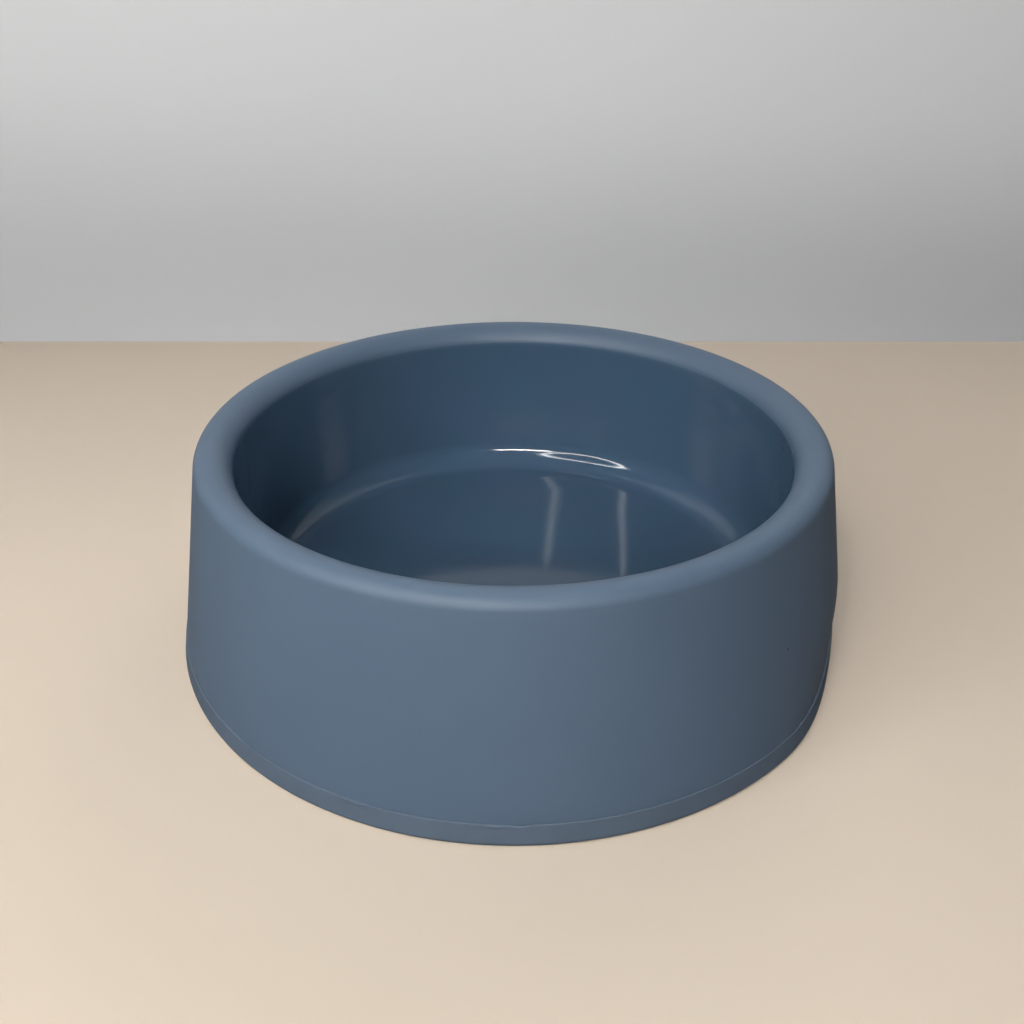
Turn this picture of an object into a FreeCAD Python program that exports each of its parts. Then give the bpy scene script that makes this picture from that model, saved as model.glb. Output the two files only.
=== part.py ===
import FreeCAD, Part
import math
import os
import Sketcher
from FreeCAD import Vector

# Pet bowl with a soft ring round its foot. Millimetres, +Z up.
# The origin is on the floor, under the middle of the bowl.
# The bowl is one thin-walled moulding: cup, rolled rim and flared skirt, open underneath.
# The ring is a soft channel that the lower edge of the skirt stands in.

doc = FreeCAD.newDocument("pet_bowl")

# Driving sizes: name, value, what it is
SIZES = (
    ("overall_height", "62.4", "floor to the top of the rim"),
    ("skirt_base_radius", "100.2", "outside of the skirt at the top edge of the ring"),
    ("skirt_taper", "10.5", "degrees that the skirt leans in from upright"),
    ("rim_outer_round", "3.9", "outer half of the rim's rounded top"),
    ("rim_inner_round", "6.6", "inner half of the rim's rounded top"),
    ("wall", "2.5", "thickness of the cup wall, the rim and the skirt"),
    ("cup_draft", "1.2", "degrees that the cup wall leans in towards the floor"),
    ("cup_floor_height", "9.5", "ground to the floor of the cup"),
    ("cup_floor_thickness", "2.8", "thickness of the floor of the cup"),
    ("cup_floor_fillet", "6.5", "round between the floor and the wall of the cup"),
    ("rib_count", "8", "stiffening ribs in the hollow under the rim"),
    ("rib_thickness", "1.5", "thickness of one rib"),
    ("rib_foot_height", "34.0", "ground to the lower edge of the ribs"),
    ("gate_radius", "5.0", "radius of the moulding gate's recess under the floor"),
    ("gate_depth", "0.6", "depth of that recess"),
    ("ring_height", "6.3", "height of the soft ring"),
    ("ring_sole", "1.8", "soft material between the skirt's edge and the ground"),
    ("ring_lip", "1.2", "outer leg of the ring, in the rebate of the skirt"),
    ("ring_inner_leg", "1.5", "thickness of the inner leg of the ring"),
    ("ring_inner_leg_height", "5.3", "ground to the top of the inner leg"),
    ("ring_proud", "0.2", "how far the ring stands out past the skirt"),
    ("ring_clearance", "0.1", "gap beside the skirt's edge in the channel"),
    ("ring_foot_chamfer", "0.8", "bevel at the outer edge of the foot"),
    ("ring_seam_chamfer", "0.3", "fine bevel at the top edge of the ring, along the seam"),
)

sheet = doc.addObject("Spreadsheet::Sheet", "Sizes")
for row, (name, value, note) in enumerate(SIZES, start=1):
    sheet.set(f"A{row}", name)
    sheet.set(f"B{row}", value)
    sheet.set(f"C{row}", note)
    sheet.setAlias(f"B{row}", name)
doc.recompute()


def size(name):
    return float(sheet.get(name))


# Sketch helpers. In a section sketch, x is the radius and y is the height.
START, END, CENTRE = 1, 2, 3
ORIGIN_POINT = (-1, 1)
X_AXIS, Y_AXIS = -1, -2
FIRST_EXTERNAL = -3
SAME_PLACE = 1e-6


def new_body(label):
    body = doc.addObject("PartDesign::Body", label)
    body.Label = label
    return body


def new_sketch(body, name, plane_role):
    sketch = body.newObject("Sketcher::SketchObject", name)
    plane = next(item for item in body.Origin.OriginFeatures if item.Role == plane_role)
    sketch.AttachmentSupport = (plane, "")
    sketch.MapMode = "FlatFace"
    return sketch


def line(sketch, first, last):
    return sketch.addGeometry(Part.LineSegment(Vector(*first, 0), Vector(*last, 0)), False)


def arc(sketch, centre, radius, first_degrees, last_degrees):
    circle = Part.Circle(Vector(*centre, 0), Vector(0, 0, 1), radius)
    curve = Part.ArcOfCircle(circle, math.radians(first_degrees), math.radians(last_degrees))
    return sketch.addGeometry(curve, False)


def relate(sketch, kind, *where):
    sketch.addConstraint(Sketcher.Constraint(kind, *where))


def drive(sketch, name, formula, kind, *where):
    index = sketch.addConstraint(Sketcher.Constraint(kind, *where))
    sketch.renameConstraint(index, name)
    sketch.setExpression("Constraints." + name, formula)


def edge_of(sketch, geometry):
    """Name of the edge that one piece of a sketch's geometry makes."""
    middle = sketch.Placement.multVec(sketch.Geometry[geometry].toShape().CenterOfMass)
    for index, edge in enumerate(sketch.Shape.Edges, start=1):
        if edge.CenterOfMass.distanceToPoint(middle) < SAME_PLACE:
            return f"Edge{index}"
    raise ValueError(f"{sketch.Name} has no edge for geometry {geometry}")


def revolve(body, sketch, name):
    feature = body.newObject("PartDesign::Revolution", name)
    feature.Profile = sketch
    feature.ReferenceAxis = (sketch, ["V_Axis"])
    feature.Angle = 360.0
    sketch.Visibility = False
    return feature


# Places that follow from the driving sizes, where each sketch starts before its constraints hold it
HEIGHT = size("overall_height")
BASE_RADIUS = size("skirt_base_radius")
TAPER = math.radians(size("skirt_taper"))
DRAFT = math.radians(size("cup_draft"))
OUTER_ROUND = size("rim_outer_round")
INNER_ROUND = size("rim_inner_round")
WALL = size("wall")
RING_HEIGHT = size("ring_height")
SOLE = size("ring_sole")

rise_to_rim = HEIGHT - OUTER_ROUND - RING_HEIGHT
crown_radius = BASE_RADIUS - (OUTER_ROUND + rise_to_rim * math.sin(TAPER)) / math.cos(TAPER)
outer_centre = (crown_radius, HEIGHT - OUTER_ROUND)
inner_centre = (crown_radius, HEIGHT - INNER_ROUND)


def skirt_radius(height, depth=0.0):
    """Radius of the skirt at a height, at a depth under its outer face."""
    outside = BASE_RADIUS + (RING_HEIGHT - height) * math.tan(TAPER)
    return outside - depth / math.cos(TAPER)


def cup_radius(height, depth=0.0):
    """Radius of the cup wall at a height, at a depth behind its inner face."""
    mouth = crown_radius - INNER_ROUND / math.cos(DRAFT)
    drop = HEIGHT - INNER_ROUND - height
    return mouth - drop * math.tan(DRAFT) + depth / math.cos(DRAFT)


def on_round(centre, radius, degrees):
    """Point of a round at an angle from level."""
    angle = math.radians(degrees)
    return centre[0] + radius * math.cos(angle), centre[1] + radius * math.sin(angle)


def two_arcs(sketch, name, formula, centre, radius, first_degrees, split_degrees, last_degrees):
    """A round of one radius, drawn as two arcs that meet on a diagonal."""
    first = arc(sketch, centre, radius, first_degrees, split_degrees)
    second = arc(sketch, centre, radius, split_degrees, last_degrees)
    relate(sketch, "Coincident", first, END, second, START)
    relate(sketch, "Coincident", first, CENTRE, second, CENTRE)
    drive(sketch, name, formula, "Radius", first, radius)
    offset = on_round(centre, radius, split_degrees)[0] - centre[0]
    ends = (first, CENTRE, first, END) if offset > 0 else (first, END, first, CENTRE)
    drive(sketch, name + "_split", f"({formula}) * cos(45)", "DistanceX", *ends, abs(offset))
    return first, second


# Bowl: cup, rim and skirt in one section of even thickness, turned about the middle
bowl = new_body("bowl")
section = new_sketch(bowl, "bowl_section", "XZ_Plane")

floor_top = size("cup_floor_height")
floor_under = floor_top - size("cup_floor_thickness")
fillet = size("cup_floor_fillet")
draft_degrees = math.degrees(DRAFT)
taper_degrees = math.degrees(TAPER)

fillet_height = floor_top + fillet
fillet_centre = (cup_radius(fillet_height) - fillet / math.cos(DRAFT), fillet_height)
cup_tangent = on_round(inner_centre, INNER_ROUND, 180.0 - draft_degrees)
skirt_tangent = on_round(outer_centre, OUTER_ROUND, taper_degrees)
under_crown = (crown_radius, HEIGHT - WALL)
cup_back_top = (cup_radius(inner_centre[1], WALL), inner_centre[1])
skirt_back_top = (skirt_radius(outer_centre[1], WALL), outer_centre[1])

# The cup's lower outside corner is cut at a slope that touches the round of an even wall
corner_cut = (2 - math.sqrt(2)) * (fillet + WALL)
corner_top = (cup_radius(floor_under + corner_cut, WALL), floor_under + corner_cut)
corner_foot = (cup_radius(floor_under, WALL) - corner_cut, floor_under)

rebate = size("ring_lip") + size("ring_clearance")
tongue_top = (BASE_RADIUS - rebate, RING_HEIGHT)
tongue_foot = (skirt_radius(SOLE) - rebate, SOLE)
tongue_back = (skirt_radius(SOLE, WALL), SOLE)

cup_floor = line(section, (0, floor_top), (fillet_centre[0], floor_top))
fillet_low, fillet_high = two_arcs(section, "floor_fillet", "Sizes.cup_floor_fillet",
                                   fillet_centre, fillet, 270.0, 315.0, 360.0 - draft_degrees)
cup_wall = line(section, on_round(fillet_centre, fillet, 360.0 - draft_degrees), cup_tangent)
inner_high, inner_low = two_arcs(section, "inner_round", "Sizes.rim_inner_round",
                                 inner_centre, INNER_ROUND, 90.0, 135.0, 180.0 - draft_degrees)
outer_low, outer_high = two_arcs(section, "outer_round", "Sizes.rim_outer_round",
                                 outer_centre, OUTER_ROUND, taper_degrees, 45.0, 90.0)
skirt_face = line(section, (BASE_RADIUS, RING_HEIGHT), skirt_tangent)
rebate_step = line(section, (BASE_RADIUS, RING_HEIGHT), tongue_top)
rebate_face = line(section, tongue_top, tongue_foot)
tongue_edge = line(section, tongue_foot, tongue_back)
skirt_back = line(section, tongue_back, skirt_back_top)
hollow_outer = line(section, skirt_back_top, under_crown)
hollow_inner = line(section, under_crown, cup_back_top)
cup_back = line(section, cup_back_top, corner_top)
cup_corner = line(section, corner_top, corner_foot)
floor_back = line(section, corner_foot, (0, floor_under))
middle = line(section, (0, floor_under), (0, floor_top))

# Smooth joins from the cup floor over the rim to the skirt
relate(section, "Tangent", cup_floor, END, fillet_low, START)
relate(section, "Tangent", fillet_high, END, cup_wall, START)
relate(section, "Tangent", cup_wall, END, inner_low, END)
relate(section, "Tangent", inner_high, START, outer_high, END)
relate(section, "Tangent", outer_low, START, skirt_face, END)

# Corners, round the foot and back along the hidden side
relate(section, "Coincident", skirt_face, START, rebate_step, START)
corner_chain = (rebate_step, rebate_face, tongue_edge, skirt_back, hollow_outer, hollow_inner,
                cup_back, cup_corner, floor_back, middle, cup_floor)
for this_side, next_side in zip(corner_chain, corner_chain[1:]):
    relate(section, "Coincident", this_side, END, next_side, START)

# Directions: the hidden side follows the face that shows
relate(section, "PointOnObject", cup_floor, START, Y_AXIS)
relate(section, "Vertical", middle)
for level in (cup_floor, floor_back, rebate_step, tongue_edge):
    relate(section, "Horizontal", level)
for leaning in (rebate_face, skirt_back):
    relate(section, "Parallel", leaning, skirt_face)
relate(section, "Parallel", cup_back, cup_wall)
relate(section, "Vertical", inner_high, CENTRE, inner_high, START)
relate(section, "Vertical", hollow_outer, END, inner_high, START)
relate(section, "Horizontal", hollow_outer, START, outer_high, CENTRE)
relate(section, "Horizontal", hollow_inner, END, inner_high, CENTRE)

# Sizes
drive(section, "height", "Sizes.overall_height", "DistanceY", *ORIGIN_POINT, inner_high, START, HEIGHT)
drive(section, "base_radius", "Sizes.skirt_base_radius", "DistanceX",
      *ORIGIN_POINT, skirt_face, START, BASE_RADIUS)
drive(section, "base_height", "Sizes.ring_height", "DistanceY",
      *ORIGIN_POINT, skirt_face, START, RING_HEIGHT)
drive(section, "taper", "Sizes.skirt_taper", "Angle", Y_AXIS, skirt_face, TAPER)
drive(section, "draft", "Sizes.cup_draft", "Angle", cup_wall, Y_AXIS, DRAFT)
drive(section, "skirt_wall", "Sizes.wall", "Distance", skirt_back, START, skirt_face, WALL)
drive(section, "cup_wall", "Sizes.wall", "Distance", cup_back, START, cup_wall, WALL)
drive(section, "crown_wall", "Sizes.wall", "DistanceY", hollow_outer, END, inner_high, START, WALL)
drive(section, "floor_height", "Sizes.cup_floor_height", "DistanceY",
      *ORIGIN_POINT, cup_floor, START, floor_top)
drive(section, "floor_thickness", "Sizes.cup_floor_thickness", "DistanceY",
      middle, START, middle, END, floor_top - floor_under)
corner_formula = "(2 - sqrt(2)) * (Sizes.cup_floor_fillet + Sizes.wall)"
drive(section, "corner_rise", corner_formula, "DistanceY", cup_corner, END, cup_corner, START, corner_cut)
drive(section, "corner_run", corner_formula, "DistanceX",
      cup_corner, END, cup_corner, START, corner_top[0] - corner_foot[0])
drive(section, "rebate", "Sizes.ring_lip + Sizes.ring_clearance", "DistanceX",
      rebate_step, END, rebate_step, START, rebate)
drive(section, "tongue_height", "Sizes.ring_sole", "DistanceY", *ORIGIN_POINT, tongue_edge, START, SOLE)

shell = revolve(bowl, section, "bowl_shell")
doc.recompute()

# Short ribs high in the hollow, each bounded by the middle of the walls that it joins
rib_section = new_sketch(bowl, "rib_section", "XZ_Plane")
bowl_line = {}
for place, geometry in enumerate((cup_back, hollow_inner, hollow_outer, skirt_back)):
    rib_section.addExternal(section.Name, edge_of(section, geometry))
    bowl_line[geometry] = FIRST_EXTERNAL - place

rib_foot = size("rib_foot_height")
half_wall = WALL / 2
rib_crown = (crown_radius, HEIGHT - half_wall)
rib_cup_top = (cup_radius(inner_centre[1], half_wall), inner_centre[1])
rib_cup_foot = (cup_radius(rib_foot, half_wall), rib_foot)
rib_skirt_top = (skirt_radius(outer_centre[1], half_wall), outer_centre[1])
rib_skirt_foot = (skirt_radius(rib_foot, half_wall), rib_foot)

rib_cup_side = line(rib_section, rib_cup_foot, rib_cup_top)
rib_inner_slope = line(rib_section, rib_cup_top, rib_crown)
rib_outer_slope = line(rib_section, rib_crown, rib_skirt_top)
rib_skirt_side = line(rib_section, rib_skirt_top, rib_skirt_foot)
rib_edge = line(rib_section, rib_skirt_foot, rib_cup_foot)

rib_outline = (rib_cup_side, rib_inner_slope, rib_outer_slope, rib_skirt_side, rib_edge)
for this_side, next_side in zip(rib_outline, rib_outline[1:] + rib_outline[:1]):
    relate(rib_section, "Coincident", this_side, END, next_side, START)
relate(rib_section, "Parallel", rib_cup_side, bowl_line[cup_back])
relate(rib_section, "Parallel", rib_skirt_side, bowl_line[skirt_back])
relate(rib_section, "Horizontal", rib_edge)
relate(rib_section, "Vertical", rib_inner_slope, END, bowl_line[hollow_inner], START)
relate(rib_section, "Horizontal", rib_cup_side, END, bowl_line[hollow_inner], END)
relate(rib_section, "Horizontal", rib_skirt_side, START, bowl_line[hollow_outer], START)
half_wall_formula = "Sizes.wall / 2"
drive(rib_section, "into_cup", half_wall_formula, "Distance",
      rib_cup_side, END, bowl_line[cup_back], half_wall)
drive(rib_section, "into_skirt", half_wall_formula, "Distance",
      rib_skirt_side, START, bowl_line[skirt_back], half_wall)
drive(rib_section, "into_crown", half_wall_formula, "DistanceY",
      bowl_line[hollow_inner], START, rib_inner_slope, END, half_wall)
drive(rib_section, "foot_height", "Sizes.rib_foot_height", "DistanceY",
      *ORIGIN_POINT, rib_edge, START, rib_foot)
doc.recompute()

rib = bowl.newObject("PartDesign::Pad", "rib")
rib.Profile = rib_section
rib.SideType = "Symmetric"
rib.setExpression("Length", "Sizes.rib_thickness")
rib_section.Visibility = False
doc.recompute()

ribs = bowl.newObject("PartDesign::PolarPattern", "ribs")
ribs.Originals = [rib]
ribs.Axis = (rib_section, ["V_Axis"])
ribs.Angle = 360.0
ribs.setExpression("Occurrences", "round(Sizes.rib_count)")
bowl.Tip = ribs
doc.recompute()

# Shallow recess under the middle of the floor, where the moulding was filled
gate_circle = new_sketch(bowl, "gate_circle", "XY_Plane")
gate_circle.setExpression(".AttachmentOffset.Base.z", "Sizes.cup_floor_height - Sizes.cup_floor_thickness")
gate_start = Part.Circle(Vector(0, 0, 0), Vector(0, 0, 1), size("gate_radius"))
gate_outline = gate_circle.addGeometry(gate_start, False)
relate(gate_circle, "Coincident", gate_outline, CENTRE, *ORIGIN_POINT)
drive(gate_circle, "radius", "Sizes.gate_radius", "Radius", gate_outline, size("gate_radius"))

gate_recess = bowl.newObject("PartDesign::Pocket", "gate_recess")
gate_recess.Profile = gate_circle
gate_recess.Reversed = True
gate_recess.setExpression("Length", "Sizes.gate_depth")
gate_circle.Visibility = False
bowl.Tip = gate_recess
doc.recompute()

# Soft ring: a channel whose outer leg fills the rebate and whose inner leg grips the skirt's back
non_slip_ring = new_body("non_slip_ring")
ring_section = new_sketch(non_slip_ring, "ring_section", "XZ_Plane")

proud = size("ring_proud")
lip = size("ring_lip")
gap = size("ring_clearance")
inner_leg = size("ring_inner_leg")
inner_leg_height = size("ring_inner_leg_height")

ring_top_outer = (BASE_RADIUS + proud, RING_HEIGHT)
ring_foot_outer = (skirt_radius(0.0) + proud, 0.0)
ring_foot_inner = (skirt_radius(0.0, WALL) - gap - inner_leg, 0.0)
leg_top_inner = (skirt_radius(inner_leg_height, WALL) - gap - inner_leg, inner_leg_height)
leg_top_outer = (skirt_radius(inner_leg_height, WALL) - gap, inner_leg_height)
channel_inner = (skirt_radius(SOLE, WALL) - gap, SOLE)
channel_outer = (skirt_radius(SOLE) - lip, SOLE)
lip_top_inner = (BASE_RADIUS - lip, RING_HEIGHT)

ring_face = line(ring_section, ring_foot_outer, ring_top_outer)
lip_top = line(ring_section, ring_top_outer, lip_top_inner)
lip_back = line(ring_section, lip_top_inner, channel_outer)
channel_floor = line(ring_section, channel_outer, channel_inner)
leg_front = line(ring_section, channel_inner, leg_top_outer)
leg_top = line(ring_section, leg_top_outer, leg_top_inner)
leg_back = line(ring_section, leg_top_inner, ring_foot_inner)
ring_foot = line(ring_section, ring_foot_inner, ring_foot_outer)

ring_outline = (ring_face, lip_top, lip_back, channel_floor, leg_front, leg_top, leg_back, ring_foot)
for this_side, next_side in zip(ring_outline, ring_outline[1:] + ring_outline[:1]):
    relate(ring_section, "Coincident", this_side, END, next_side, START)
for level in (lip_top, channel_floor, leg_top):
    relate(ring_section, "Horizontal", level)
for leaning in (lip_back, leg_front, leg_back):
    relate(ring_section, "Parallel", leaning, ring_face)
relate(ring_section, "PointOnObject", ring_foot, START, X_AXIS)
relate(ring_section, "PointOnObject", ring_foot, END, X_AXIS)

drive(ring_section, "taper", "Sizes.skirt_taper", "Angle", Y_AXIS, ring_face, TAPER)
drive(ring_section, "top_radius", "Sizes.skirt_base_radius + Sizes.ring_proud", "DistanceX",
      *ORIGIN_POINT, lip_top, START, BASE_RADIUS + proud)
drive(ring_section, "top_height", "Sizes.ring_height", "DistanceY",
      *ORIGIN_POINT, lip_top, START, RING_HEIGHT)
drive(ring_section, "lip", "Sizes.ring_lip + Sizes.ring_proud", "DistanceX",
      lip_top, END, lip_top, START, lip + proud)
drive(ring_section, "sole", "Sizes.ring_sole", "DistanceY", *ORIGIN_POINT, channel_floor, START, SOLE)
drive(ring_section, "channel_width",
      "Sizes.wall / cos(Sizes.skirt_taper) + Sizes.ring_clearance - Sizes.ring_lip", "DistanceX",
      channel_floor, END, channel_floor, START, channel_outer[0] - channel_inner[0])
drive(ring_section, "inner_leg", "Sizes.ring_inner_leg", "DistanceX",
      leg_top, END, leg_top, START, inner_leg)
drive(ring_section, "inner_leg_height", "Sizes.ring_inner_leg_height", "DistanceY",
      *ORIGIN_POINT, leg_top, START, inner_leg_height)

ring_channel = revolve(non_slip_ring, ring_section, "ring_channel")
doc.recompute()


def circle_edge(shape, radius, height):
    """Name of a shape's circular edge at a radius and a height."""
    for index, edge in enumerate(shape.Edges, start=1):
        if not isinstance(edge.Curve, Part.Circle):
            continue
        if math.hypot(edge.Curve.Radius - radius, edge.Curve.Center.z - height) < SAME_PLACE:
            return f"Edge{index}"
    raise ValueError(f"no circular edge at radius {radius:.3f} and height {height:.3f}")


def bevel_edge(body, base, name, place):
    """A chamfer, named after its size, on the circular edge at a place of the section."""
    feature = body.newObject("PartDesign::Chamfer", name)
    feature.Base = (base, [circle_edge(base.Shape, *place)])
    feature.setExpression("Size", "Sizes." + name)
    body.Tip = feature
    doc.recompute()
    return feature


foot_bevel = bevel_edge(non_slip_ring, ring_channel, "ring_foot_chamfer", ring_foot_outer)
seam_bevel = bevel_edge(non_slip_ring, foot_bevel, "ring_seam_chamfer", ring_top_outer)

# Nothing is written unless every object and both shapes are sound
doc.recompute()
for item in doc.Objects:
    if "Invalid" in item.State or "Error" in item.State:
        raise RuntimeError(f"{item.Label} did not build")
if gate_recess.Shape.Volume >= ribs.Shape.Volume:
    raise RuntimeError("the gate recess cuts nothing")
if ribs.Shape.Volume <= shell.Shape.Volume:
    raise RuntimeError("the ribs add nothing")

os.makedirs("parts", exist_ok=True)
for body in (bowl, non_slip_ring):
    if body.Shape.isNull() or not body.Shape.isValid():
        raise RuntimeError(f"{body.Label} has no sound shape")
for body in (bowl, non_slip_ring):
    body.Shape.exportStep(f"parts/{body.Label}.step")
    print(f"{body.Label}: {body.Shape.Volume / 1000:.2f} cm3, {len(body.Shape.Solids)} solid")
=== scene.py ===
import math

import bmesh
import bpy
from mathutils import Matrix, Vector


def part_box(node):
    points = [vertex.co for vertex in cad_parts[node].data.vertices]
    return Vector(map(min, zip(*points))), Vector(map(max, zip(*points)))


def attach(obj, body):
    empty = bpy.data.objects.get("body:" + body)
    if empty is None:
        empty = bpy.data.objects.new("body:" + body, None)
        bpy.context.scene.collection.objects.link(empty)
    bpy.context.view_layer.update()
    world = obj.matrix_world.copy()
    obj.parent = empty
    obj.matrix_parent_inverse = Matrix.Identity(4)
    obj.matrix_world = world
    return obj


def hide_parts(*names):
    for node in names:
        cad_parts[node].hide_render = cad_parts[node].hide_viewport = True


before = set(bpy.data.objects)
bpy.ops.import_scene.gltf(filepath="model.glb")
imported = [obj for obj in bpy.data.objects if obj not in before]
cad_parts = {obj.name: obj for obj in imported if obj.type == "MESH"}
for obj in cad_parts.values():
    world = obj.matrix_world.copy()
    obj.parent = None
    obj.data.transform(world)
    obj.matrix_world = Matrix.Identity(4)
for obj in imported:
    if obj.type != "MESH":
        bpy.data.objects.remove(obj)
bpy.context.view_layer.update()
MM = 0.001

# Bowl: one injection-moulded shell of blue-grey plastic, with a cup, a fat rolled rim and a flared
# skirt, about 2.5 mm thick all over and open underneath, with short ribs high in the hollow.
# The mould is textured outside and over the rim and polished inside, so matte fades into gloss.
bowl_low, bowl_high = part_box("bowl")
rim_top = bowl_high[2]
skirt_base_radius = bowl_high[0]
skirt_base_height = 6.3 * MM
skirt_taper = math.radians(10.5)
rim_outer_round = 3.9 * MM
rim_inner_round = 6.6 * MM
wall = 2.5 * MM
cup_draft = math.radians(1.2)
cup_floor = 9.5 * MM
cup_floor_thickness = 2.8 * MM
cup_fillet = 9.0 * MM
rebate = 1.3 * MM
skirt_edge_round = 0.1 * MM
gate_radius = 5.0 * MM
gate_depth = 0.6 * MM

rim_rise = rim_top - rim_outer_round - skirt_base_height
crown_radius = skirt_base_radius - (
    rim_outer_round + rim_rise * math.sin(skirt_taper)) / math.cos(skirt_taper)
outer_centre = (crown_radius, rim_top - rim_outer_round)
inner_centre = (crown_radius, rim_top - rim_inner_round)
draft_degrees = math.degrees(cup_draft)
taper_degrees = math.degrees(skirt_taper)


def cup_radius(height, depth=0.0):
    """Radius of the cup wall at a height, at a depth behind its inner face."""
    mouth = crown_radius - rim_inner_round / math.cos(cup_draft)
    return mouth - (inner_centre[1] - height) * math.tan(cup_draft) + depth / math.cos(cup_draft)


def skirt_radius(height, depth=0.0):
    """Radius of the skirt at a height, at a depth under its outer face."""
    outside = skirt_base_radius + (skirt_base_height - height) * math.tan(skirt_taper)
    return outside - depth / math.cos(skirt_taper)


def arc(centre, radius, start, end, steps):
    """Points (radius, height) along a round of a section, angles in degrees from level."""
    angles = [math.radians(start + (end - start) * i / steps) for i in range(steps + 1)]
    return [(centre[0] + radius * math.cos(a), centre[1] + radius * math.sin(a)) for a in angles]


def stretch(first, last, steps):
    """Points along a straight of a section, without its two ends."""
    return [(first[0] + (last[0] - first[0]) * i / steps, first[1] + (last[1] - first[1]) * i / steps)
            for i in range(1, steps)]


# The side that shows, from the middle of the cup's floor over the rim to the edge of the skirt
fillet_height = cup_floor + cup_fillet
fillet_centre = (cup_radius(fillet_height) - cup_fillet / math.cos(cup_draft), fillet_height)
floor_round = arc(fillet_centre, cup_fillet, 270, 360 - draft_degrees, 14)
inner_round = arc(inner_centre, rim_inner_round, 180 - draft_degrees, 90, 22)
outer_round = arc(outer_centre, rim_outer_round, 90, taper_degrees, 16)
edge_height = skirt_base_height + skirt_edge_round
skirt_edge = arc((skirt_radius(edge_height, skirt_edge_round), edge_height), skirt_edge_round,
                 taper_degrees, -90, 6)
bowl_section = [(0.0, cup_floor)] + stretch((0.0, cup_floor), floor_round[0], 5) + floor_round
bowl_section += stretch(floor_round[-1], inner_round[0], 8) + inner_round + outer_round[1:]
bowl_section += stretch(outer_round[-1], skirt_edge[0], 16) + skirt_edge

# The hidden side, from the tongue that stands in the ring back to the middle. The corner under the
# cup is bevelled as it is in the solids.
tongue_foot = bowl_low[2]
floor_under = cup_floor - cup_floor_thickness
corner_cut = 5.27 * MM
tongue_back = (skirt_radius(tongue_foot, wall), tongue_foot)
skirt_back = (skirt_radius(outer_centre[1], wall), outer_centre[1])
cup_back = (cup_radius(inner_centre[1], wall), inner_centre[1])
bowl_section += [(skirt_base_radius - rebate, skirt_base_height),
                 (skirt_radius(tongue_foot) - rebate, tongue_foot), tongue_back]
bowl_section += stretch(tongue_back, skirt_back, 8)
bowl_section += [skirt_back, (crown_radius, rim_top - wall), cup_back,
                 (cup_radius(floor_under + corner_cut, wall), floor_under + corner_cut),
                 (cup_radius(floor_under, wall) - corner_cut, floor_under),
                 (gate_radius, floor_under), (gate_radius, floor_under + gate_depth),
                 (0.0, floor_under + gate_depth)]


def turned(section, steps):
    """A closed shell of revolution. Its section ends on the middle line or meets its own start."""
    shell = bmesh.new()
    points = [shell.verts.new((radius, 0.0, height)) for radius, height in section]
    edges = [shell.edges.new(pair) for pair in zip(points, points[1:])]
    if section[0][0] > 0:
        edges.append(shell.edges.new((points[-1], points[0])))
    bmesh.ops.spin(shell, geom=points + edges, cent=(0, 0, 0), axis=(0, 0, 1), dvec=(0, 0, 0),
                   angle=math.tau, steps=steps, use_merge=True, use_duplicate=False)
    bmesh.ops.remove_doubles(shell, verts=shell.verts, dist=0.002 * MM)
    bmesh.ops.recalc_face_normals(shell, faces=shell.faces)
    return shell


# The foot of this bowl has been pressed in a little on one side, between two angles round the bowl,
# in degrees. Nothing nearer to the middle than the skirt's back moves with it.
pinch_start, pinch_deepest, pinch_easing, pinch_end = -46.0, -21.0, -19.0, 4.0
pinch_depth = 3.5 * MM
pinch_fade_height = 28.0 * MM
skirt_inner_limit = 88.0 * MM


def eased(share):
    """A share from 0 to 1 that sets off and ends softly."""
    return share * share * (3 - 2 * share)


def press_in_foot(shape, spared=0.0):
    """Draws the foot in on that side, least at the ends of the stretch and fading out up the skirt.
    A face that stands out past the skirt may be spared a part of it."""
    for vert in shape.verts:
        radius = math.hypot(vert.co.x, vert.co.y)
        turn = math.degrees(math.atan2(vert.co.y, vert.co.x))
        on_foot = radius >= skirt_inner_limit and vert.co.z <= pinch_fade_height
        if not on_foot or not pinch_start < turn < pinch_end:
            continue
        near = min(1.0, (turn - pinch_start) / (pinch_deepest - pinch_start),
                   (pinch_end - turn) / (pinch_end - pinch_easing))
        low = 1 - vert.co.z / pinch_fade_height
        depth = pinch_depth - (spared if radius > skirt_radius(vert.co.z) else 0.0)
        pull = depth * eased(near) * eased(low)
        vert.co.x *= 1 - pull / radius
        vert.co.y *= 1 - pull / radius


def finished(shape, name, sharp_degrees=32):
    """A mesh object, smooth but for the edges that turn by more than an angle."""
    for edge in shape.edges:
        edge.smooth = edge.calc_face_angle(0.0) < math.radians(sharp_degrees)
    for face in shape.faces:
        face.smooth = True
    mesh = bpy.data.meshes.new(name)
    shape.to_mesh(mesh)
    shape.free()
    made = bpy.data.objects.new(name, mesh)
    bpy.context.collection.objects.link(made)
    return made


bowl_shape = turned(bowl_section, 384)
press_in_foot(bowl_shape)

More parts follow.
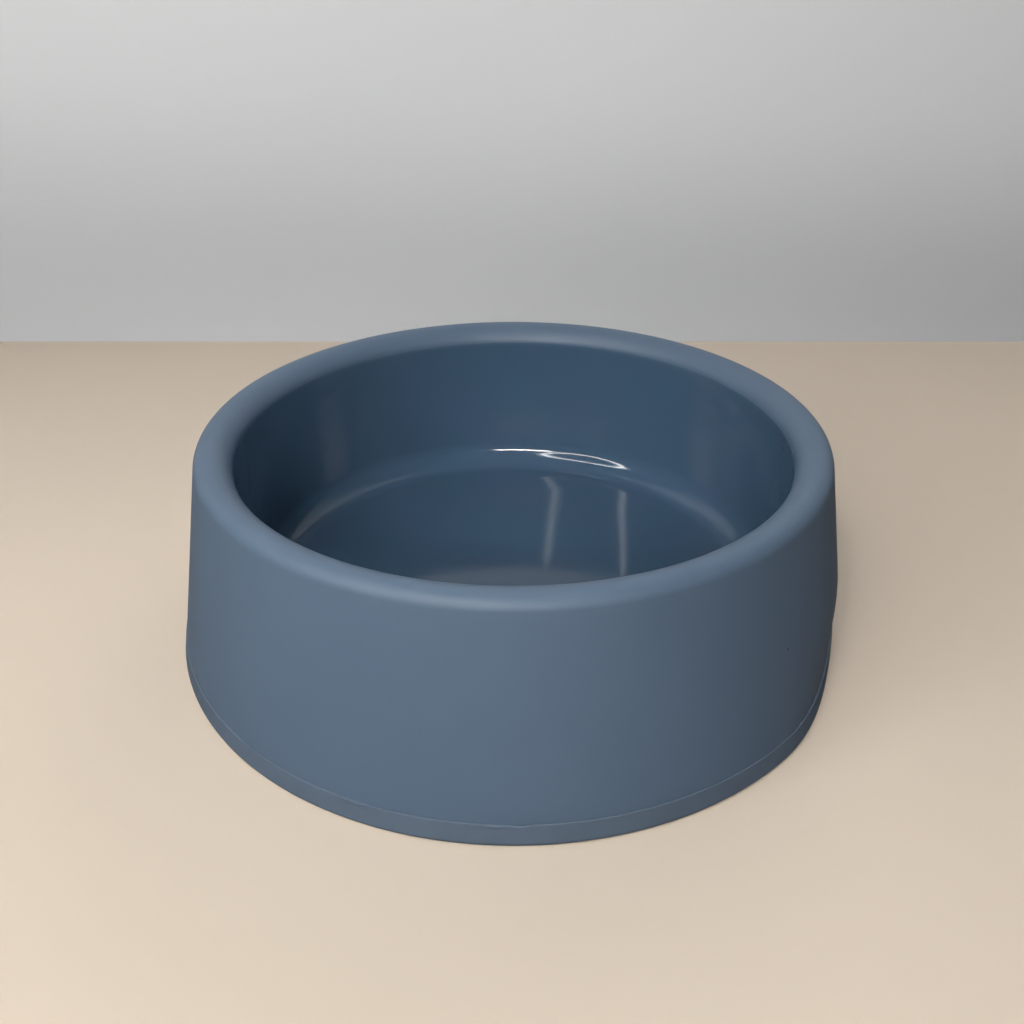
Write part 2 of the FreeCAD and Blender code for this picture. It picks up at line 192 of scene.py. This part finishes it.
# Ribs high in the hollow: flat plates whose edges run into the cup wall, the rim and the skirt
rib_count = 8
rib_thickness = 1.5 * MM
rib_foot = 34.0 * MM
half_wall = wall / 2
rib_outline = [(cup_radius(rib_foot, half_wall), rib_foot),
               (cup_radius(inner_centre[1], half_wall), inner_centre[1]),
               (crown_radius, rim_top - half_wall),
               (skirt_radius(outer_centre[1], half_wall), outer_centre[1]),
               (skirt_radius(rib_foot, half_wall), rib_foot)]
rib_corners = [bowl_shape.verts.new((radius, -rib_thickness / 2, height))
               for radius, height in rib_outline]
rib_plate = bowl_shape.faces.new(rib_corners)
pushed = bmesh.ops.extrude_face_region(bowl_shape, geom=[rib_plate], use_keep_orig=True)["geom"]
rib_far = [item for item in pushed if isinstance(item, bmesh.types.BMVert)]
bmesh.ops.translate(bowl_shape, vec=(0, rib_thickness, 0), verts=rib_far)
rib_faces = {face for vert in rib_corners + rib_far for face in vert.link_faces}
bmesh.ops.recalc_face_normals(bowl_shape, faces=list(rib_faces))
rib_geometry = list(rib_faces) + list({edge for face in rib_faces for edge in face.edges})
rib_geometry += rib_corners + rib_far
for place in range(1, rib_count):
    copied = bmesh.ops.duplicate(bowl_shape, geom=rib_geometry)["geom"]
    spread = Matrix.Rotation(math.tau * place / rib_count, 3, "Z")
    bmesh.ops.rotate(bowl_shape, cent=(0, 0, 0), matrix=spread,
                     verts=[item for item in copied if isinstance(item, bmesh.types.BMVert)])
bowl = finished(bowl_shape, "bowl_shell")


def add_node(tree, kind, inputs=None, **settings):
    """A shader node with its settings and its inputs, each a value or the output that feeds it."""
    made = tree.nodes.new("ShaderNode" + kind)
    for name, value in settings.items():
        setattr(made, name, value)
    for name, value in (inputs or {}).items():
        if isinstance(value, bpy.types.NodeSocket):
            tree.links.new(value, made.inputs[name])
        else:
            made.inputs[name].default_value = value
    return made


def new_group(name, inputs, outputs):
    """An empty shader node group with named inputs, each with a default, and named outputs."""
    group = bpy.data.node_groups.new(name, "ShaderNodeTree")
    for label, kind, value in inputs:
        socket = group.interface.new_socket(label, in_out="INPUT", socket_type="NodeSocket" + kind)
        if value is not None:
            socket.default_value = value
    for label, kind in outputs:
        group.interface.new_socket(label, in_out="OUTPUT", socket_type="NodeSocket" + kind)
    return group, group.nodes.new("NodeGroupInput"), group.nodes.new("NodeGroupOutput")


# Moulded finish: the fine eroded grain of the mould, and the faint clouds of colour that flow
# leaves in a moulding
moulded, given, result = new_group(
    "moulded_finish",
    [("Position", "Vector", None), ("Colour", "Color", (0.1, 0.15, 0.2, 1)),
     ("Cloud Colour", "Color", (0.1, 0.15, 0.2, 1)), ("Grain Scale", "Float", 2000.0),
     ("Cloud Scale", "Float", 22.0)],
    [("Colour", "Color"), ("Grain", "Float"), ("Cloud", "Float")])
grain = add_node(moulded, "TexNoise", {"Vector": given.outputs["Position"], "Detail": 3.0,
                                       "Scale": given.outputs["Grain Scale"], "Roughness": 0.62})
cloud = add_node(moulded, "TexNoise", {"Vector": given.outputs["Position"], "Detail": 5.0,
                                       "Scale": given.outputs["Cloud Scale"], "Roughness": 0.55})
cloud_mask = add_node(moulded, "MapRange", {"Value": cloud.outputs["Fac"], "From Min": 0.35,
                                            "From Max": 0.68}, interpolation_type="SMOOTHSTEP")
clouded = add_node(moulded, "Mix", {"Factor": cloud_mask.outputs["Result"], "A": given.outputs["Colour"],
                                    "B": given.outputs["Cloud Colour"]}, data_type="RGBA")
moulded.links.new(clouded.outputs["Result"], result.inputs["Colour"])
moulded.links.new(grain.outputs["Fac"], result.inputs["Grain"])
moulded.links.new(cloud_mask.outputs["Result"], result.inputs["Cloud"])

# Speck: a tiny dark fleck of foreign matter in a moulding, around one place
speck, given, result = new_group(
    "speck", [("Position", "Vector", None), ("Place", "Vector", None), ("Radius", "Float", 0.0004)],
    [("Mask", "Float")])
gap = add_node(speck, "VectorMath", {0: given.outputs["Position"], 1: given.outputs["Place"]},
               operation="DISTANCE")
share = add_node(speck, "Math", {0: gap.outputs["Value"], 1: given.outputs["Radius"]}, operation="DIVIDE")
fleck = add_node(speck, "MapRange", {"Value": share.outputs["Value"], "From Min": 1.0, "From Max": 0.4},
                 interpolation_type="SMOOTHSTEP")
speck.links.new(fleck.outputs["Result"], result.inputs["Mask"])


def new_material(name):
    """A material with a Principled shader on its output, and the object's own coordinates."""
    material = bpy.data.materials.new(name)
    material.use_nodes = True
    tree = material.node_tree
    tree.nodes.clear()
    shader = tree.nodes.new("ShaderNodeBsdfPrincipled")
    surface = tree.nodes.new("ShaderNodeOutputMaterial")
    tree.links.new(shader.outputs["BSDF"], surface.inputs["Surface"])
    position = tree.nodes.new("ShaderNodeTexCoord").outputs["Object"]
    return material, tree, shader, position


def place_group(tree, group, inputs):
    return add_node(tree, "Group", inputs, node_tree=group)


# Bowl plastic: matte where the mould is textured, polished inside the cup, and a soft change
# between the two across the inner half of the rim. The polished side is the part of the shell
# that is near enough to the middle and not under the cup's floor.
matte_roughness, polished_roughness = 0.51, 0.1
polish_starts, polish_full = 59.2 * MM, 55.2 * MM
polished_reach = 82.0 * MM
polished_lowest = 8.4 * MM
grain_relief = 0.012 * MM
swell_scale = 70.0
speck_radius = 0.6 * MM
bowl_plastic, tree, shader, position = new_material("matte_to_gloss_plastic")
shader.inputs["IOR"].default_value = 1.5
# The matte side's colour is a lighter, greyer copy of the polished side's colour: painted sheen on the
# grained face of the same plastic.
textured = place_group(tree, moulded, {"Position": position, "Colour": (0.087, 0.130, 0.192, 1),
                                       "Cloud Colour": (0.092, 0.137, 0.200, 1), "Grain Scale": 2200.0,
                                       "Cloud Scale": 24.0})
polished = place_group(tree, moulded, {"Position": position, "Colour": (0.051, 0.088, 0.144, 1),
                                       "Cloud Colour": (0.048, 0.090, 0.141, 1), "Grain Scale": 900.0,
                                       "Cloud Scale": 40.0})
apart = add_node(tree, "SeparateXYZ", {"Vector": position})
level = add_node(tree, "CombineXYZ", {"X": apart.outputs["X"], "Y": apart.outputs["Y"]})
radius = add_node(tree, "VectorMath", {0: level.outputs["Vector"]}, operation="LENGTH")
inside = add_node(tree, "Math", {0: radius.outputs["Value"], 1: polished_reach}, operation="LESS_THAN")
under_rim = add_node(tree, "MapRange", {"Value": apart.outputs["Z"], "From Min": polish_starts,
                                        "From Max": polish_full}, interpolation_type="SMOOTHSTEP")
above_floor = add_node(tree, "Math", {0: apart.outputs["Z"], 1: polished_lowest}, operation="GREATER_THAN")
cup_face = add_node(tree, "Math", {0: inside.outputs["Value"], 1: above_floor.outputs["Value"]},
                    operation="MULTIPLY")
polish = add_node(tree, "Math", {0: cup_face.outputs["Value"], 1: under_rim.outputs["Result"]},
                  operation="MULTIPLY")
roughness = add_node(tree, "MapRange", {"Value": polish.outputs["Value"], "To Min": matte_roughness,
                                        "To Max": polished_roughness})
grain_left = add_node(tree, "MapRange", {"Value": polish.outputs["Value"], "To Min": 1.0, "To Max": 0.0})
grain_height = add_node(tree, "Math", {0: textured.outputs["Grain"], 1: grain_left.outputs["Result"]},
                        operation="MULTIPLY")
swell = add_node(tree, "TexNoise", {"Vector": position, "Scale": swell_scale, "Detail": 1.0,
                                    "Roughness": 0.4})
swell_height = add_node(tree, "Math", {0: swell.outputs["Fac"], 1: polish.outputs["Value"]},
                        operation="MULTIPLY")
relief_height = add_node(tree, "Math", {0: swell_height.outputs["Value"], 1: grain_height.outputs["Value"]},
                         operation="ADD")
relief = add_node(tree, "Bump", {"Height": relief_height.outputs["Value"], "Strength": 1.0,
                                 "Distance": grain_relief})
colour = add_node(tree, "Mix", {"Factor": polish.outputs["Value"], "A": textured.outputs["Colour"],
                                "B": polished.outputs["Colour"]}, data_type="RGBA").outputs["Result"]
for place, shade in (((-0.0212, -0.0936, 0.0293), (0.082, 0.123, 0.182, 1)),
                     ((0.0679, -0.0672, 0.0316), (0.04, 0.055, 0.085, 1))):
    fleck = place_group(tree, speck, {"Position": position, "Place": place, "Radius": speck_radius})
    mixed = add_node(tree, "Mix", {"Factor": fleck.outputs["Mask"], "A": colour, "B": shade},
                     data_type="RGBA")
    colour = mixed.outputs["Result"]
tree.links.new(colour, shader.inputs["Base Color"])
tree.links.new(roughness.outputs["Result"], shader.inputs["Roughness"])
tree.links.new(relief.outputs["Normal"], shader.inputs["Normal"])
bowl.data.materials.append(bowl_plastic)
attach(bowl, "root")
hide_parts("bowl")

# Non-slip ring: a soft rubber channel that the skirt's lower edge stands in, fused to it in the
# mould. Its outer lip fills the rebate, nearly flush, with a fine line along the top.
# A little rubber flashed past the seam in front.
ring_sole = 1.8 * MM
ring_lip = 1.2 * MM
ring_inner_leg = 1.5 * MM
ring_inner_leg_height = 5.3 * MM
ring_proud = 0.2 * MM
ring_clearance = 0.1 * MM
ring_foot_round = 1.2 * MM
ring_seam_round = 0.25 * MM
ring_edge_round = 0.4 * MM
ring_grain_relief = 0.02 * MM


def ring_round(radius_at, height, size, start, end, side, up, steps):
    """A round of one size between a leaning side of the ring, on a side of it, and a level face."""
    centre_height = height - up * size
    centre = (radius_at(centre_height) - side * size / math.cos(skirt_taper), centre_height)
    return arc(centre, size, start, end, steps)


def ring_outside(height):
    """Radius of the ring's outer face at a height."""
    return skirt_radius(height) + ring_proud


def ring_inside(height):
    """Radius of the innermost face of the ring at a height."""
    return skirt_radius(height, wall) - ring_clearance - ring_inner_leg


foot_round = ring_round(ring_outside, 0.0, ring_foot_round, -90, taper_degrees, 1, -1, 10)
seam_round = ring_round(ring_outside, skirt_base_height, ring_seam_round, taper_degrees, 90, 1, 1, 7)
leg_round = ring_round(ring_inside, ring_inner_leg_height, ring_edge_round, 90, 180 + taper_degrees,
                       -1, 1, 6)
foot_inner_round = ring_round(ring_inside, 0.0, ring_edge_round, 180 + taper_degrees, 270, -1, -1, 6)
ring_section = foot_round + stretch(foot_round[-1], seam_round[0], 7) + seam_round
ring_section += [(skirt_base_radius - ring_lip, skirt_base_height),
                 (skirt_radius(ring_sole) - ring_lip, ring_sole),
                 (skirt_radius(ring_sole, wall) - ring_clearance, ring_sole),
                 (skirt_radius(ring_inner_leg_height, wall) - ring_clearance, ring_inner_leg_height)]
ring_section += leg_round + stretch(leg_round[-1], foot_inner_round[0], 4) + foot_inner_round
ring_shape = turned(ring_section, 720)

# Flash: a sliver of rubber pressed out over the seam, and a place where the seam wavers. Each has
# its first and last angle, how far it comes out and how far it rises. Only the lip's top moves, and
# the lip keeps a little of its stand past the skirt where the foot is pressed in.
seam_marks = ((-114.6, -109.2, 0.5 * MM, 0.3 * MM), (-94.0, -90.2, 0.4 * MM, 0.15 * MM),
              (-90.8, -87.6, 0.05 * MM, -0.45 * MM))
seam_band_height, seam_band_depth = 0.4 * MM, 0.5 * MM
lip_spared = 0.45 * MM
for vert in ring_shape.verts:
    radius = math.hypot(vert.co.x, vert.co.y)
    if vert.co.z < skirt_base_height - seam_band_height or radius < skirt_base_radius - seam_band_depth:
        continue
    turn = math.degrees(math.atan2(vert.co.y, vert.co.x))
    for first, last, out, rise in seam_marks:
        if first < turn < last:
            amount = math.sin(math.pi * (turn - first) / (last - first))
            vert.co.x *= 1 + out * amount / radius
            vert.co.y *= 1 + out * amount / radius
            vert.co.z += rise * amount
press_in_foot(ring_shape, lip_spared)
ring = finished(ring_shape, "rubber_ring")

ring_rubber, tree, shader, position = new_material("soft_rubber")
shader.inputs["IOR"].default_value = 1.48
moulding = place_group(tree, moulded, {"Position": position, "Colour": (0.093, 0.127, 0.175, 1),
                                       "Cloud Colour": (0.086, 0.118, 0.163, 1), "Grain Scale": 1500.0,
                                       "Cloud Scale": 60.0})
roughness = add_node(tree, "MapRange", {"Value": moulding.outputs["Cloud"], "To Min": 0.62,
                                        "To Max": 0.7})
relief = add_node(tree, "Bump", {"Height": moulding.outputs["Grain"], "Strength": 1.0,
                                 "Distance": ring_grain_relief})
tree.links.new(moulding.outputs["Colour"], shader.inputs["Base Color"])
tree.links.new(roughness.outputs["Result"], shader.inputs["Roughness"])
tree.links.new(relief.outputs["Normal"], shader.inputs["Normal"])
ring.data.materials.append(ring_rubber)
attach(ring, "root")
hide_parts("non_slip_ring")

# Floor and backdrop: a plain warm pale floor and a plain grey wall close behind the bowl. The wall
# is clear from its back, so that it hides nothing in a view from behind, and it casts no shadow. The
# camera sees both in full, and they throw less light back on the bowl, as in a room with dark sides.
wall_distance = 0.236
stage_width = 6.0
wall_height = 2.4


def stage_sheet(name, corners, colour, bounce, glossy_bounce, see_through_back):
    """A plain sheet. It shows its colour to the camera, and a share of it in mirrors and in the light
    that it throws back. One that is clear from its back also casts no shadow."""
    sheet = bmesh.new()
    sheet.faces.new([sheet.verts.new(corner) for corner in corners])
    made = finished(sheet, name)
    material = bpy.data.materials.new(name)
    material.use_nodes = True
    tree = material.node_tree
    tree.nodes.clear()
    path = tree.nodes.new("ShaderNodeLightPath").outputs
    direct = add_node(tree, "Math", {0: path["Is Camera Ray"], 1: path["Is Transmission Ray"]},
                      operation="MAXIMUM")
    mirrored = add_node(tree, "Math", {0: path["Is Glossy Ray"], 1: glossy_bounce}, operation="MULTIPLY")
    seen = add_node(tree, "Math", {0: direct.outputs["Value"], 1: mirrored.outputs["Value"]},
                    operation="MAXIMUM")
    share = add_node(tree, "Math", {0: seen.outputs["Value"], 1: bounce}, operation="MAXIMUM")
    pale = add_node(tree, "BsdfDiffuse", {"Color": (*colour, 1)})
    black = add_node(tree, "BsdfDiffuse", {"Color": (0, 0, 0, 1)})
    shown = add_node(tree, "MixShader", {0: share.outputs["Value"], 1: black.outputs["BSDF"],
                                         2: pale.outputs["BSDF"]})
    surface = tree.nodes.new("ShaderNodeOutputMaterial")
    if see_through_back:
        clear = tree.nodes.new("ShaderNodeBsdfTransparent")
        behind = tree.nodes.new("ShaderNodeNewGeometry").outputs["Backfacing"]
        unseen = add_node(tree, "Math", {0: behind, 1: path["Is Shadow Ray"]},
                          operation="MAXIMUM")
        shown = add_node(tree, "MixShader", {0: unseen.outputs["Value"], 1: shown.outputs["Shader"],
                                             2: clear.outputs["BSDF"]})
    tree.links.new(shown.outputs["Shader"], surface.inputs["Surface"])
    made.data.materials.append(material)
    return made


half = stage_width / 2
stage_sheet("pale_floor", [(-half, -half, 0), (half, -half, 0), (half, half, 0), (-half, half, 0)],
            colour=(0.64, 0.549, 0.453), bounce=0.06, glossy_bounce=0.3, see_through_back=False)
stage_sheet("plain_wall", [(-half, wall_distance, 0), (half, wall_distance, 0),
                           (half, wall_distance, wall_height), (-half, wall_distance, wall_height)],
            colour=(0.70, 0.715, 0.72), bounce=0.2, glossy_bounce=1.0, see_through_back=True)

# Light: two ring lamps in front, one near and one far, which the polished cup mirrors as fine lines,
# soft fills from the left, from above the near rim and from behind, and a dim even room. The camera
# sees the room as plain pale grey beyond the stage.
world = bpy.data.worlds.new("room")
world.use_nodes = True
tree = world.node_tree
tree.nodes.clear()
room = add_node(tree, "Background", {"Color": (0.85, 0.92, 1.0, 1), "Strength": 0.035})
beyond = add_node(tree, "Background", {"Color": (0.47, 0.48, 0.485, 1), "Strength": 1.0})
camera_ray = tree.nodes.new("ShaderNodeLightPath").outputs["Is Camera Ray"]
sky = add_node(tree, "MixShader", {0: camera_ray, 1: room.outputs["Background"],
                                   2: beyond.outputs["Background"]})
surface = tree.nodes.new("ShaderNodeOutputWorld")
tree.links.new(sky.outputs["Shader"], surface.inputs["Surface"])
bpy.context.scene.world = world


def soft_lamp(name, place, aim, width, power):
    """A square white lamp that lights the bowl and shows in no mirror."""
    lamp = bpy.data.lights.new(name, "AREA")
    lamp.shape = "SQUARE"
    lamp.size = width
    lamp.energy = power
    made = bpy.data.objects.new(name, lamp)
    made.location = place
    looking = Vector(aim) - Vector(place)
    made.rotation_euler = looking.to_track_quat("-Z", "Y").to_euler()
    made.visible_glossy = False
    bpy.context.collection.objects.link(made)


middle = (0, 0, 0.03)
soft_lamp("left_fill", (-1.6, -0.3, 1.3), middle, width=1.2, power=0.8)
soft_lamp("over_the_near_rim", (-0.08, -0.30, 0.55), (0, -0.05, 0.03), width=0.25, power=0.85)
soft_lamp("back_fill", (0.55, 1.15, 0.7), middle, width=1.0, power=8.5)


def ring_lamp(name, azimuth, away, height, lean, radius, tube, strength):
    """A ring lamp: a glowing tube, hung on one side of the bowl and leaned by an angle, that the
    camera doesn't see."""
    shape = turned(arc((radius, 0.0), tube, 0, 330, 11), 96)
    turn = math.radians(azimuth)
    axis = Vector((-math.sin(turn), math.cos(turn), 0))
    bmesh.ops.rotate(shape, cent=(0, 0, 0), matrix=Matrix.Rotation(math.radians(lean), 3, axis),
                     verts=shape.verts)
    bmesh.ops.translate(shape, vec=(away * math.cos(turn), away * math.sin(turn), height),
                        verts=shape.verts)
    made = finished(shape, name)
    material = bpy.data.materials.new(name)
    material.use_nodes = True
    tree = material.node_tree
    tree.nodes.clear()
    glow = add_node(tree, "Emission", {"Color": (1.0, 0.985, 0.96, 1), "Strength": strength})
    surface = tree.nodes.new("ShaderNodeOutputMaterial")
    tree.links.new(glow.outputs["Emission"], surface.inputs["Surface"])
    made.data.materials.append(material)
    made.visible_camera = False


ring_lamp("near_ring_lamp", azimuth=-131.4, away=0.47, height=0.471, lean=49.0, radius=0.194,
          tube=0.012, strength=30.0)
ring_lamp("far_ring_lamp", azimuth=-95.5, away=1.17, height=0.640, lean=-23.0, radius=0.285,
          tube=0.012, strength=90.0)

# A black sheet hung under the far lamp keeps its glare off the floor there
shade_left, shade_right, shade_front, shade_back, shade_height = -0.8, 0.6, -1.95, -0.75, 0.33
lamp_shade = stage_sheet("lamp_shade", [(shade_left, shade_front, shade_height),
                                        (shade_right, shade_front, shade_height),
                                        (shade_right, shade_back, shade_height),
                                        (shade_left, shade_back, shade_height)],
                         colour=(0.02, 0.02, 0.02), bounce=1.0, glossy_bounce=1.0, see_through_back=False)
lamp_shade.visible_camera = False
lamp_shade.visible_glossy = False

# Camera, where the photograph was taken from: 985 of the picture's 1024 pixels of width to one
# unit of depth, 30 degrees down
camera_data = bpy.data.cameras.new("camera")
camera_data.sensor_fit = "HORIZONTAL"
camera_data.sensor_width = 36.0
camera_data.lens = 985.0 * camera_data.sensor_width / 1024
camera_data.clip_start = 0.01
camera = bpy.data.objects.new("camera", camera_data)
camera.location = (-0.42 * MM, -261.24 * MM, 182.87 * MM)
camera.rotation_euler = (math.radians(60.0), 0, 0)
bpy.context.collection.objects.link(camera)
bpy.context.scene.camera = camera
bpy.context.scene.view_settings.view_transform = "Standard"
